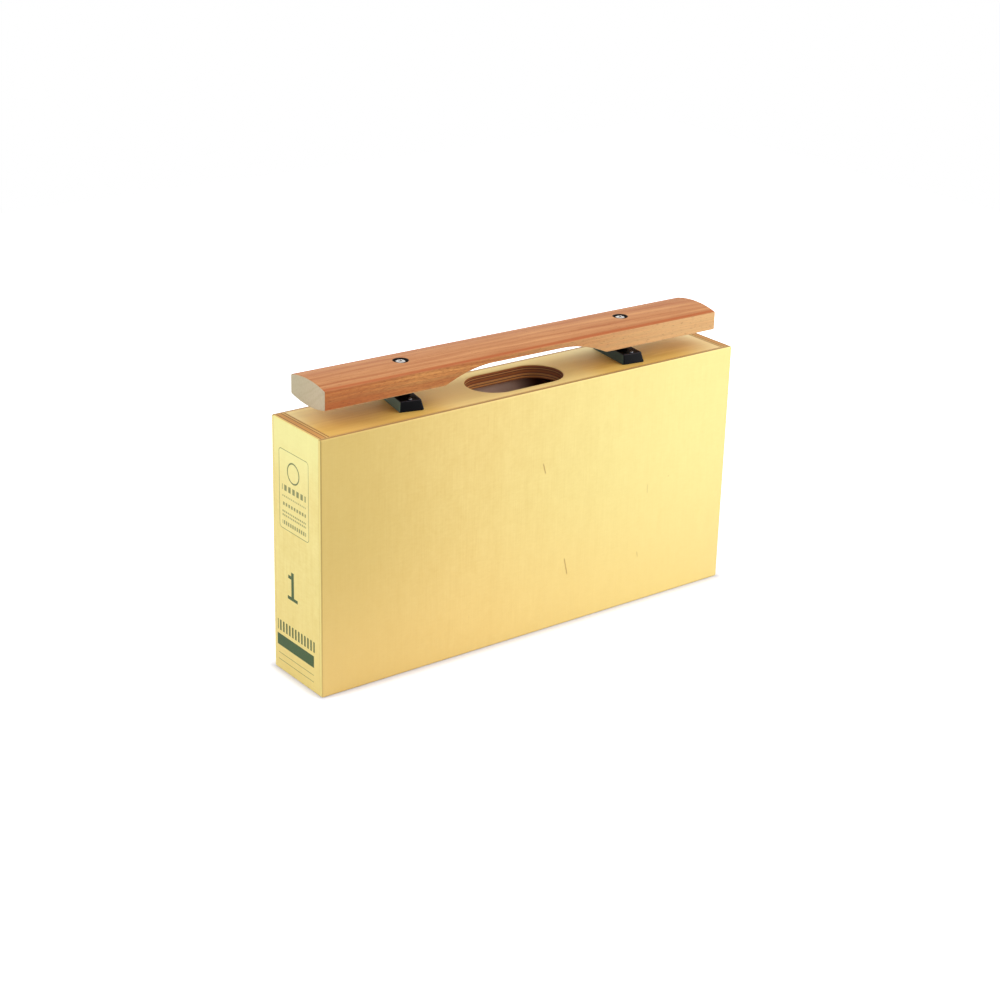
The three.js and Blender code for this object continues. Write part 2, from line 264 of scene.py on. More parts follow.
def stack(rings, closed=False):
    """Points and faces of a stack of rings: quads between neighbours, and a flat face on the
    first and last ring, or quads from the last ring back to the first one if it is closed."""
    rings = np.asarray(rings, float)
    levels, count = rings.shape[:2]
    bands = levels if closed else levels - 1
    level, i = np.divmod(np.arange(bands * count), count)
    a = level * count + i
    b = level * count + (i + 1) % count
    up = count * np.where(level + 1 == levels, 1 - levels, 1)
    faces = np.stack([a, b, b + up, a + up], 1).tolist()
    if not closed:
        faces.append(list(range(count))[::-1])
        faces.append(list(range((levels - 1) * count, levels * count)))
    return rings.reshape(-1, 3), faces


def quarter(steps=ARC_STEPS):
    """Sine and one-minus-cosine of evenly spaced angles from 0 to a quarter turn."""
    angle = np.linspace(0, math.pi / 2, steps + 1)
    return np.sin(angle), 1 - np.cos(angle)


def rounded_rectangle(width, length, corner):
    """A rectangle in the plane with quarter-circle corners, counter-clockwise."""
    radius = max(min(corner, width / 2, length / 2), TINY)
    angle = np.linspace(0, math.pi / 2, ARC_STEPS + 1)[None] + np.arange(4)[:, None] * math.pi / 2
    side = np.array([[1, 1], [-1, 1], [-1, -1], [1, -1]], float)
    centre = side * [width / 2 - radius, length / 2 - radius]
    x = centre[:, :1] + radius * np.cos(angle)
    y = centre[:, 1:] + radius * np.sin(angle)
    return np.stack([x.ravel(), y.ravel()], 1)


def slot_outline(grow):
    """The sound hole's two half circles joined by straight sides, grown outwards,
    counter-clockwise."""
    reach = (HOLE_LENGTH - HOLE_WIDTH) / 2
    radius = HOLE_WIDTH / 2 + grow
    angle = np.linspace(-math.pi / 2, math.pi / 2, ROUND_STEPS // 2 + 1)
    right = np.stack([reach + radius * np.cos(angle), radius * np.sin(angle)], 1)
    return np.concatenate([right, -right])


def lathe(profile, steps=SMALL_STEPS, closed=False, at=(0, 0)):
    """A profile of (radius, height) pairs carried round an upright axis."""
    angle = np.arange(steps) * 2 * math.pi / steps
    radius, height = np.asarray(profile, float).T
    radius = np.maximum(radius, TINY)
    x = at[0] + radius[:, None] * np.cos(angle)
    y = at[1] + radius[:, None] * np.sin(angle)
    z = np.broadcast_to(height[:, None], x.shape)
    return stack(np.stack([x, y, z], -1), closed)


def flat_ring(outline, z):
    """A plane outline as a ring at one height."""
    return np.column_stack([outline, np.full(len(outline), z)])


def cover_panel(side):
    """Front or back panel: rectangles in the XZ plane from the glue joint out to the face. The
    last ones draw in along a quarter circle, with the same circle at the four corners."""
    size = box_high - box_low
    sine, drop = quarter()
    inset = np.concatenate([[0], EDGE_ROUND * drop])
    depth = np.concatenate([[PANEL_THICKNESS], EDGE_ROUND * (1 - sine)])
    rings = []
    for i, d in zip(inset, depth):
        plane = rounded_rectangle(size[0] - 2 * i, size[2] - 2 * i, EDGE_ROUND - i)
        rings.append(np.column_stack([
            -side * plane[:, 0],
            np.full(len(plane), side * (size[1] / 2 - d)),
            plane[:, 1] + size[2] / 2,
        ]))
    return stack(rings)


def end_board(side):
    """End board: upright rectangles from the inner face out, whose top and bottom draw in along a
    quarter circle at the outer face."""
    low, high = limits("left_end_board" if side < 0 else "right_end_board")
    sine, drop = quarter()
    inset = np.concatenate([[0], EDGE_ROUND * drop])
    depth = np.concatenate([[high[0] - low[0]], EDGE_ROUND * (1 - sine)])
    corner = np.array([[1, 1], [-1, 1], [-1, -1], [1, -1]], float)
    half_y = (high[1] - low[1]) / 2
    middle_z = (low[2] + high[2]) / 2
    rings = []
    for i, d in zip(inset, depth):
        y = corner[:, 0] * half_y * side
        z = middle_z + corner[:, 1] * (middle_z - low[2] - i)
        rings.append(np.column_stack([np.full(4, side * (end_x - d)), y, z]))
    return stack(rings)


def board_between(low, high):
    """A plain board: one rectangle carried from its low to its high face."""
    plane = np.array([[high[0], high[1]], [low[0], high[1]], [low[0], low[1]], [high[0], low[1]]])
    return stack([flat_ring(plane, low[2]), flat_ring(plane, high[2])])


def hole_cutter(low_z, high_z):
    """The sound hole as a solid: a slot whose rim flares along a quarter circle."""
    sine, drop = quarter()
    rings = [flat_ring(slot_outline(0), low_z - OVERSHOOT)]
    for s, d in zip(sine, drop):
        rings.append(flat_ring(slot_outline(HOLE_RIM_ROUND * d), high_z - HOLE_RIM_ROUND * (1 - s)))
    rings.append(flat_ring(slot_outline(HOLE_RIM_ROUND), high_z + OVERSHOOT))
    return stack(rings)


def arch_height(x, side_low):
    """Height of the tuning arch: a level middle and two parabolas that fall to the side's edge."""
    from_middle = np.abs(x - ARCH_SHIFT)
    past = np.maximum(from_middle - (ARCH_HALF_SPAN - ARCH_RUN_IN), 0) / ARCH_RUN_IN
    return side_low + ARCH_DEPTH * (1 - past ** 2)


def crown(width, rise, corner):
    """Half a section above its side edge: a corner circle, the crown's arc, and a corner circle,
    all tangent. Returns the points and, for each, the height of the bare crown arc there."""
    half = width / 2
    radius = (half ** 2 + rise ** 2) / (2 * rise)
    sunk = rise - radius
    across = half - corner
    corner_z = sunk + math.sqrt((radius - corner) ** 2 - across ** 2)
    turn = math.atan2(corner_z - sunk, across)
    arc = np.linspace(0, turn, ARC_STEPS, endpoint=False)
    over = np.linspace(turn, math.pi - turn, CROWN_POINTS)
    y = np.concatenate([across + corner * np.cos(arc), radius * np.cos(over)])
    z = np.concatenate([corner_z + corner * np.sin(arc), sunk + radius * np.sin(over)])
    y = np.concatenate([y, -across - corner * np.cos(arc[::-1])])
    z = np.concatenate([z, corner_z + corner * np.sin(arc[::-1])])
    bare = sunk + np.sqrt(np.maximum(radius ** 2 - np.minimum(np.abs(y), half) ** 2, 0))
    return y, z, bare


def bar_body(side_low, side_high):
    """The bar without its holes: one section in the YZ plane carried along X. Its underside is
    the higher one of the lower crown and the tuning arch, and both ends draw in along a quarter
    circle, measured along each point's own outward direction."""
    top_y, top_z, _ = crown(BAR_WIDTH, BAR_TOP_CROWN, BAR_CORNER_ROUND)
    low_y, low_z, low_bare = crown(BAR_WIDTH, BAR_BOTTOM_CROWN, BAR_CORNER_ROUND)
    sine, drop = quarter(steps=5)
    half = BAR_LENGTH / 2
    ends = half - BAR_END_ROUND * (1 - sine)
    inside = np.linspace(-half + BAR_END_ROUND, half - BAR_END_ROUND, BAR_SECTIONS)[1:-1]
    x = np.concatenate([-ends[::-1], inside, ends])
    end_inset = BAR_END_ROUND * drop
    inset = np.concatenate([end_inset[::-1], np.zeros(len(inside)), end_inset])
    arch = arch_height(x, side_low)[:, None]
    bare = side_low - low_bare[None]
    under = (bare + arch + np.sqrt((bare - arch) ** 2 + ARCH_EDGE_SOFT ** 2)) / 2
    bottom_z = under + (low_bare - low_z)[None]
    bottom_y = np.broadcast_to(-low_y, bottom_z.shape)
    upper_y = np.broadcast_to(top_y, (len(x), len(top_y)))
    upper_z = np.broadcast_to(side_high + top_z, upper_y.shape)
    share = np.linspace(0, 1, SIDE_STEPS + 1)[1:-1]
    left_z = upper_z[:, -1:] + (bottom_z[:, :1] - upper_z[:, -1:]) * share
    right_z = bottom_z[:, -1:] + (upper_z[:, :1] - bottom_z[:, -1:]) * share
    edge = np.full(left_z.shape, BAR_WIDTH / 2)
    y = np.concatenate([upper_y, -edge, bottom_y, edge], 1)
    z = np.concatenate([upper_z, left_z, bottom_z, right_z], 1)
    along = np.stack([np.roll(y, -1, 1) - np.roll(y, 1, 1), np.roll(z, -1, 1) - np.roll(z, 1, 1)])
    along /= np.linalg.norm(along, axis=0) + 1e-9
    y = y - along[1] * inset[:, None]
    z = z + along[0] * inset[:, None]
    return stack(np.stack([np.broadcast_to(x[:, None], y.shape), y, z], -1))


def bar_hole_cutter(x, low_z, high_z):
    """A stepped hole: the bore, the counterbore, and a small flare where it meets the crown."""
    bore, wide = BAR_HOLE_DIAMETER / 2, COUNTERBORE_DIAMETER / 2
    floor_z = high_z - COUNTERBORE_DEPTH
    rim_z = high_z - BAR_TOP_CROWN * (COUNTERBORE_DIAMETER / BAR_WIDTH) ** 2
    profile = [(bore, low_z - OVERSHOOT), (bore, floor_z - BAR_HOLE_EASE)]
    profile += [(bore + BAR_HOLE_EASE, floor_z), (wide, floor_z)]
    sine, drop = quarter()
    profile += [(wide + COUNTERBORE_EASE * d, rim_z - COUNTERBORE_EASE * (1 - s))
                for s, d in zip(sine, drop)]
    profile.append((wide + COUNTERBORE_EASE, high_z + OVERSHOOT))
    return lathe(profile, ROUND_STEPS, at=(x, 0))


def block_body(low_z, high_z):
    """A rubber block: rounded rectangles that draw in evenly from base to top, and along a
    quarter circle at the top edge."""
    base, top = np.array(BLOCK_BASE), np.array(BLOCK_TOP)
    height = high_z - low_z
    sine, drop = quarter()
    up = np.concatenate([[0, BLOCK_FOOT_EASE], height - BLOCK_EDGE_ROUND * (1 - sine)])
    inset = np.concatenate([[BLOCK_FOOT_EASE, 0], BLOCK_EDGE_ROUND * drop])
    rings = []
    for rise, i in zip(up, inset):
        size = base + (top - base) * rise / height - 2 * i
        rings.append(flat_ring(rounded_rectangle(*size, BLOCK_CORNER_ROUND), low_z + rise))
    return stack(rings)


def bore_cutter(diameter, low_z, high_z, y=0.0):
    """A plain round hole as a solid that reaches past both heights."""
    return lathe([(diameter / 2, low_z), (diameter / 2, high_z)], at=(0, y))


def tube(outer, bore, low_z, high_z, ease):
    """A tube with eased edges: its wall section carried round the Z axis."""
    sine, drop = quarter(steps=4)
    start = [(outer / 2 - ease, low_z), (outer / 2, low_z + ease)]
    out = [(outer / 2 - ease * d, high_z - ease * (1 - s)) for s, d in zip(sine, drop)]
    back = [(bore / 2 + ease * d, high_z - ease * (1 - s)) for s, d in zip(sine, drop)][::-1]
    foot = [(bore / 2, low_z + ease), (bore / 2 + ease, low_z)]
    return lathe(start + out + back + foot, ROUND_STEPS, closed=True)


def headed(shank, head, tip_z, seat_z, top_z, dome, steps):
    """A pin or screw: pointed tip, shank, underside of the head and an elliptic dome."""
    sine, drop = quarter(steps=10)
    profile = [(0, tip_z), (shank / 2, tip_z + shank), (shank / 2, seat_z)]
    profile += [(head / 2 - HEAD_EDGE_EASE, seat_z), (head / 2, seat_z + HEAD_EDGE_EASE)]
    profile += [(head / 2 * (1 - d), top_z - dome * (1 - s)) for s, d in zip(sine, drop)]
    return lathe(profile, steps)


def cross_cutter(top_z):
    """A cross recess: a round middle and two blades. Each narrows to a share of its width at the
    floor of the recess, and widens a little above the head."""
    floor_z, above_z = top_z - RECESS_DEPTH, top_z + 1
    middle = [(RECESS_CORE / 2 * share, z)
              for share, z in ((0.5, floor_z), (1, top_z), (1.2, above_z))]
    solids = [lathe(middle)]
    for span, blade in ((RECESS_SPAN, RECESS_BLADE), (RECESS_BLADE, RECESS_SPAN)):
        rings = []
        for share, z in ((0.55, floor_z), (1, top_z), (1.2, above_z)):
            outline = rounded_rectangle(span * share, blade * share, RECESS_CORNER)
            rings.append(flat_ring(outline, z))
        solids.append(stack(rings))
    return solids


# Meshes and pieces

def bare_object(name, points, faces):
    """An object with a mesh of these points and faces."""
    mesh = bpy.data.meshes.new(name)
    mesh.from_pydata((np.asarray(points) / 1000).tolist(), [], faces)
    thing = bpy.data.objects.new(name, mesh)
    bpy.context.scene.collection.objects.link(thing)
    return thing


def carve(piece, cutters):
    """Cuts closed solids out of a piece and keeps the result as its mesh."""
    tools = [bare_object("cutter", *shape) for shape in cutters]
    for tool in tools:
        cut = piece.modifiers.new("cut", "BOOLEAN")
        cut.operation = "DIFFERENCE"
        cut.solver = "EXACT"
        cut.object = tool
    seen = piece.evaluated_get(bpy.context.evaluated_depsgraph_get())
    whole = piece.data
    carved = bpy.data.meshes.new_from_object(seen)
    piece.modifiers.clear()
    piece.data = carved
    bpy.data.meshes.remove(whole)
    for tool in tools:
        shape = tool.data
        bpy.data.objects.remove(tool)
        bpy.data.meshes.remove(shape)


def make_piece(name, shape, node, finish, cutters=()):
    """A finished piece that stands for a CAD node and moves with its body."""
    piece = bare_object(name, *shape)
    if cutters:
        carve(piece, cutters)
    piece.data.name = name
    piece.data.shade_smooth()
    piece.data.set_sharp_from_angle(angle=math.radians(CREASE_DEG))
    piece.data.materials.clear()
    piece.data.materials.append(finish)
    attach(piece, body_of[node])
    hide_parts(node)


# Finishes

def paint(red, green, blue):
    """A colour given as it looks on screen, from 0 to 255, as linear light."""
    shown = np.array([red, green, blue]) / 255
    linear = np.where(shown <= 0.04045, shown / 12.92, ((shown + 0.055) / 1.055) ** 2.4)
    return (*linear.tolist(), 1.0)


class Signal:
    """One output of a node. Sums on it add Math nodes."""

    def __init__(self, finish, socket):
        self.finish = finish
        self.socket = socket

    def math(self, operation, *others):
        sockets = dict(enumerate((self, *others)))
        return self.finish.node("Math", {"operation": operation}, sockets)

    def __add__(self, other):
        return self.math("ADD", other)

    def __sub__(self, other):
        return self.math("SUBTRACT", other)

    def __rsub__(self, other):
        return self.math("MULTIPLY_ADD", -1.0, other)

    def __mul__(self, other):
        return self.math("MULTIPLY", other)

    def __truediv__(self, other):
        return self.math("DIVIDE", other)

    def __abs__(self):
        return self.math("ABSOLUTE")

    __radd__ = __add__
    __rmul__ = __mul__

    def least(self, other):
        return self.math("MINIMUM", other)

    def most(self, other):
        return self.math("MAXIMUM", other)

    def root(self):
        return self.math("SQRT")

    def share(self, pitch):
        """How far the value has gone through its current pitch, from 0 to 1."""
        return (self / pitch).math("FRACT")


def distance(x, y):
    """Length of the line from the origin to a place in a plane."""
    return (x * x + y * y).root()


class Finish:
    """A material, or the world, while its nodes are being made."""

    def __init__(self, name, kind="Material"):
        store = bpy.data.worlds if kind == "World" else bpy.data.materials
        self.made = store.new(name)
        self.made.use_nodes = True
        self.tree = self.made.node_tree
        self.tree.nodes.clear()
        self.output = self.tree.nodes.new("ShaderNodeOutput" + kind)

    def node(self, kind, settings=None, sockets=None, out=0):
        """A node of one type, with its settings, then the values or links of its sockets."""
        made = self.tree.nodes.new("ShaderNode" + kind)
        for name, value in (settings or {}).items():
            setattr(made, name, value)
        for name, value in (sockets or {}).items():
            if isinstance(value, Signal):
                self.tree.links.new(value.socket, made.inputs[name])
            else:
                made.inputs[name].default_value = value
        return Signal(self, made.outputs[out])

    def coordinates(self, turn=0.0, start=(0, 0)):
        """Object coordinates in millimetres, from a start in the XY plane and turned about Z."""
        raw = self.node("TexCoord", out="Object")
        moved = turned(np.array([[-start[0], -start[1], 0]]), turn, (0, 0))[0]
        return self.node("Mapping", {}, {
            "Vector": raw, "Rotation": (0, 0, turn), "Scale": (1000, 1000, 1000),
            "Location": moved.tolist(),
        })

    def axes(self, vector):
        """The three parts of a vector."""
        split = self.node("SeparateXYZ", {}, {"Vector": vector})
        outputs = split.socket.node.outputs
        return [Signal(self, outputs[i]) for i in range(3)]

    def facing(self):
        """The three parts of the surface's direction in the object's own frame."""
        return self.axes(self.node("TexCoord", out="Normal"))

    def noise(self, vector, sizes, detail=2.0, roughness=0.5, shift=(0, 0, 0), distortion=0.0):
        """Soft noise, about 0.5, whose figure has this size along each axis."""
        scale = tuple(1 / size for size in sizes)
        place = self.node("Mapping", {}, {"Vector": vector, "Scale": scale, "Location": shift})
        return self.node("TexNoise", {}, {
            "Vector": place, "Scale": 1.0, "Detail": detail, "Roughness": roughness,
            "Distortion": distortion,
        })

    def step(self, value, low, high, to_low=0.0, to_high=1.0):
        """A smooth step from one value to another as the input goes from low to high."""
        flip = low > high
        ends = {"From Min": high if flip else low, "From Max": low if flip else high,
                "To Min": to_high if flip else to_low, "To Max": to_low if flip else to_high}
        return self.node("MapRange", {"interpolation_type": "SMOOTHSTEP"}, {"Value": value, **ends})

    def line(self, value, place, width, soft):
        """1 within a band round a place, falling to 0 over a soft edge."""
        return self.step(abs(value - place), width / 2 + soft / 2, width / 2 - soft / 2)

    def mix(self, factor, first, second):
        """Two colours mixed by a factor."""
        return self.node("Mix", {"data_type": "RGBA", "clamp_factor": True},
                         {0: factor, 6: first, 7: second}, out=2)

    def bump(self, height, depth, strength):
        """The surface's direction, tilted by a height of some depth in millimetres."""
        return self.node("Bump", {}, {"Height": height, "Distance": depth / 1000, "Strength": strength})

    def surfaced(self, shader):
        """What was being made, with this shader on its surface."""
        self.tree.links.new(shader.socket, self.output.inputs["Surface"])
        return self.made

    def principled(self, **sockets):
        """The material with a Principled shader, whose socket names have underscores for
        spaces."""
        named = {name.replace("_", " "): value for name, value in sockets.items()}
        return self.surfaced(self.node("BsdfPrincipled", {}, named))


def birch_tones(finish, place, dark, light, shift):
    """Pale birch veneer with upright grain: fine fibres, faint streaks and broad bands that run
    up it, a mottle, and small soft ripples across it."""
    fibre = finish.noise(place, (0.9, 0.9, 34), 3, 0.6, shift)
    streak = finish.noise(place, (4.0, 4.0, 90), 2, 0.5, shift)
    band = finish.noise(place, (34, 34, 200), 2, 0.5, shift)
    mottle = finish.noise(place, (11, 11, 16), 4, 0.6, shift, 0.6)
    ripple = finish.noise(place, (6, 6, 2.2), 2, 0.5, shift, 0.4)
    tone = (fibre - 0.5) * 0.9 + (streak - 0.5) * 0.4 + (band - 0.5) * 0.5
    tone = tone + (mottle - 0.5) * 0.8 + (ripple - 0.5) * 0.6 + 0.5
    return finish.mix(tone, dark, light), fibre, tone


def ply_edge(finish, depth, lines, cores, pale, core, joint):
    """Colour of a plywood edge by depth from its face: pale plies, darker cores between given
    depths, and thin dark glue lines."""
    colour = pale
    for low, high in cores:
        inside = finish.step(depth, low - CORE_SOFT, low + CORE_SOFT)
        inside = inside * finish.step(depth, high + CORE_SOFT, high - CORE_SOFT)
        colour = finish.mix(inside, colour, core)
    for at in lines:
        glue = finish.line(depth, at, GLUE_WIDTH, GLUE_SOFT)
        colour = finish.mix(glue * 0.9, colour, joint)
    return colour


def panel_finish(name, side):
    """Lacquered birch on a broad panel, with painted light across the face, dark flecks in the veneer,
    plies at the edges and a bare reddish veneer on the inside."""
    finish = Finish(name)
    place = finish.coordinates()
    x, y, z = finish.axes(place)
    nx, ny, _ = finish.facing()

    # Veneer, with painted light across it: darker at one end, paler towards the other, and lighter and
    # warmer towards the foot
    shift = (3.1, 0.0, 7.7) if side < 0 else (41.3, 5.0, 19.2)
    face, fibre, tone = birch_tones(
        finish, place, paint(225, 187, 97), paint(243, 213, 128), shift)
    face = finish.mix(finish.step(x * -side, -40, -215) * 0.7, face, paint(208, 180, 92))
    face = finish.mix(finish.step(x * -side, -200, 210) * 0.6, face, paint(255, 248, 158))
    face = finish.mix(finish.step(z, 150, 0) * 0.45, face, paint(255, 213, 128))
    for fx, fz, length, width, lean, strength in FLECKS[side]:
        along = (z - fz) + (x - fx) * lean
        across = (x - fx) - (z - fz) * lean
        spot = finish.step(abs(along), length / 2, length / 2 - 3) * finish.step(
            abs(across) + (fibre - 0.5) * 0.8, width, width * 0.2)
        face = finish.mix(spot * strength, face, paint(146, 94, 16))

    # Inner face, darker away from the light that falls through the hole
    inside = finish.mix(finish.step(x, 24, 52), paint(255, 220, 200), paint(110, 66, 52))
    face = finish.mix(finish.step(ny * side, -0.3, -0.6), face, inside)

    # Edges, paler at the ends, with darker upright corners, more so towards the top
    plies = ply_edge(finish, face_y - y * side, PANEL_GLUE, PANEL_CORES,
                     paint(228, 194, 122), paint(198, 152, 86), paint(150, 104, 54))
    grit = finish.noise(place, (2.5, 0.5, 2.5), 3, 0.7)
    plies = finish.mix((grit - 0.4) * 0.5, plies, paint(184, 138, 76))
    plies = finish.mix(finish.step(abs(nx), 0.3, 0.7), plies, paint(238, 218, 130))
    edge = finish.step(abs(ny), 0.8, 0.35)
    colour = finish.mix(edge, face, plies)
    corner = finish.step(abs(nx), 0.2, 0.5) * finish.step(abs(nx), 0.98, 0.8)
    corner = corner * finish.step(z, 0, 200, 0.25, 0.6)
    colour = finish.mix(corner, colour, paint(150, 118, 48))
    return finish.principled(
        Base_Color=colour,
        Roughness=0.36 + (fibre - 0.5) * 0.14 + edge * 0.2,
        Normal=finish.bump(fibre + tone * 0.4, 0.05, 0.35))


def printed(finish, y, z, area, corner=0.0, rule=None):
    """1 inside a rectangle on the end face, or only along its ruled border."""
    low, high = area
    past_y = abs(y - (low[0] + high[0]) / 2) - ((high[0] - low[0]) / 2 - corner)
    past_z = abs(z - (low[1] + high[1]) / 2) - ((high[1] - low[1]) / 2 - corner)
    outside = distance(past_y.most(0.0), past_z.most(0.0))
    outside = outside + past_y.most(past_z).least(0.0) - corner
    if rule is None:
        return finish.step(outside, PRINT_EDGE_SOFT, -PRINT_EDGE_SOFT)
    return finish.step(abs(outside), rule / 2 + PRINT_EDGE_SOFT, rule / 2 - PRINT_EDGE_SOFT)


def rows_of_dashes(finish, y, z):
    """Plain dashes in rows, in the lower part of the label."""
    marks = 0.0
    for height, tall, pitch, strength in DASHES:
        run = y.share(pitch)
        dash = finish.step(run, 0.28, 0.40) * finish.step(run, 0.98, 0.9)
        row = printed(finish, y, z, ((LABEL[0][0] + DASH_MARGIN, height),
                                     (LABEL[1][0] - DASH_MARGIN, height + tall)))
        marks = (dash * row * strength).most(marks)
    return marks


def printing(finish, place, y, z):
    """Plain green printing: a ruled label with a ring and dashes, a numeral, a row of ticks, a
    solid band and two lines, all a little worn."""
    marks = printed(finish, y, z, LABEL, LABEL_CORNER, LABEL_RULE) * 0.8
    from_ring = distance(y - RING_PLACE[0], z - RING_PLACE[1])
    marks = marks.most(finish.line(from_ring, RING_RADIUS, RING_LINE, 0.3) * 0.9)
    marks = marks.most(rows_of_dashes(finish, y, z))
    for area in NUMERAL.values():
        marks = marks.most(printed(finish, y, z, area) * 0.95)
    run = y.share(TICK_PITCH)
    ticks = finish.step(run, 0.36, 0.44) * finish.step(run, 0.96, 0.88)
    marks = marks.most(ticks * printed(finish, y, z, TICK_ROW) * 0.9)
    marks = marks.most(printed(finish, y, z, BAND) * 0.97)
    for area in RULED_LINES:
        marks = marks.most(printed(finish, y, z, area) * 0.8)
    wear_and_highlight = finish.noise(place, (0.8, 0.8, 0.8), 2, 0.6)
    return marks * finish.step(wear_and_highlight, 0.12, 0.4, 0.85, 1.0)


def end_finish(name, side):
    """Lacquered birch on an end board, with its plies at the top and bottom edges, and printing
    on the left one."""
    finish = Finish(name)
    place = finish.coordinates()
    x, y, z = finish.axes(place)

    # Veneer, with painted light down its face: paler at the top and warmer towards the foot
    face, fibre, tone = birch_tones(
        finish, place, paint(228, 205, 118), paint(245, 228, 146), (11.0 * side, 2.0, 5.0))
    face = finish.mix(finish.step(z, 160, 215) * 0.55, face, paint(244, 244, 164))
    face = finish.mix(finish.step(z, 120, 0) * 0.5, face, paint(238, 208, 120))
    if side < 0:
        label = printed(finish, y, z, LABEL, LABEL_CORNER)
        face = finish.mix(label * 0.15, face, paint(252, 250, 178))
        face = finish.mix(printing(finish, place, y, z), face, paint(24, 72, 20))

    plies = ply_edge(finish, end_x - x * side, END_GLUE, END_CORES,
                     paint(222, 182, 112), paint(206, 152, 88), paint(104, 52, 18))
    cut_fibre = finish.noise(place, (0.35, 9.0, 0.35), 3, 0.7)
    plies = finish.mix((cut_fibre - 0.42) * 0.7, plies, paint(178, 122, 62))
    edge = finish.step(abs(finish.facing()[0]), 0.8, 0.35)
    return finish.principled(
        Base_Color=finish.mix(edge, face, plies),
        Roughness=0.38 + (fibre - 0.5) * 0.14 + edge * 0.22,
        Normal=finish.bump(fibre + tone * 0.4, 0.05, 0.35),
        Specular_IOR_Level=0.2)


def deck_finish(name):
    """Tan plywood of the top board: long grain along X, and its plies on the wall of the
    hole."""
    finish = Finish(name)
    place = finish.coordinates()
    x, y, z = finish.axes(place)
    fibre = finish.noise(place, (70, 0.8, 0.8), 3, 0.6)
    streak = finish.noise(place, (150, 3.4, 3.4), 3, 0.55, (0, 3.3, 0), 0.3)
    broad = finish.noise(place, (60, 11, 11), 3, 0.55, (5, 1.3, 0), 0.5)
    tone = (fibre - 0.5) * 0.9 + (streak - 0.5) * 1.1 + (broad - 0.5) * 1.3 + 0.5
    face = finish.mix(tone, paint(222, 174, 78), paint(248, 208, 112))

    # Painted light and sheen: paler towards the back, round the hole and at the right end. Browner at
    # the left front
    towards_back = finish.step(y, -22, 20) * finish.step(x, -150, 150, 0.5, 0.8)
    face = finish.mix(towards_back, face, paint(252, 240, 186))
    face = finish.mix(finish.step(abs(x + 11), 96, 62) * 0.7, face, paint(255, 229, 152))
    left_front = finish.step(x, -120, -165) * finish.step(y, 0, -24)
    face = finish.mix(left_front * 0.4, face, paint(206, 158, 80))
    face = finish.mix(finish.step(x, 150, 205) * 0.6, face, paint(255, 232, 176))

    # A brown line along the joint with the panels and ends
    rim = (abs(y) - deck_y).most(abs(x) - deck_x) + 1.6
    face = finish.mix(finish.step(rim, 0.0, 1.4) * 0.5, face, paint(176, 124, 66))

    # Wall of the hole, scorched in places, with painted shade that darkens its right end
    wall = ply_edge(finish, box_top_z - z, DECK_GLUE, DECK_CORES,
                    paint(240, 172, 102), paint(182, 106, 50), paint(108, 54, 22))
    char = finish.noise(place, (7, 7, 0.4), 3, 0.7)
    wall = finish.mix((char - 0.4) * 0.8, wall, paint(150, 92, 48))
    wall = finish.mix(finish.step(x, 18, 46) * 0.6, wall, paint(74, 40, 20))
    edge = finish.step(abs(finish.facing()[2]), 0.75, 0.3)
    return finish.principled(
        Base_Color=finish.mix(edge, face, wall),
        Roughness=0.58 + (fibre - 0.5) * 0.16 + edge * 0.15,
        Normal=finish.bump(fibre + tone * 0.4, 0.06, 0.4))


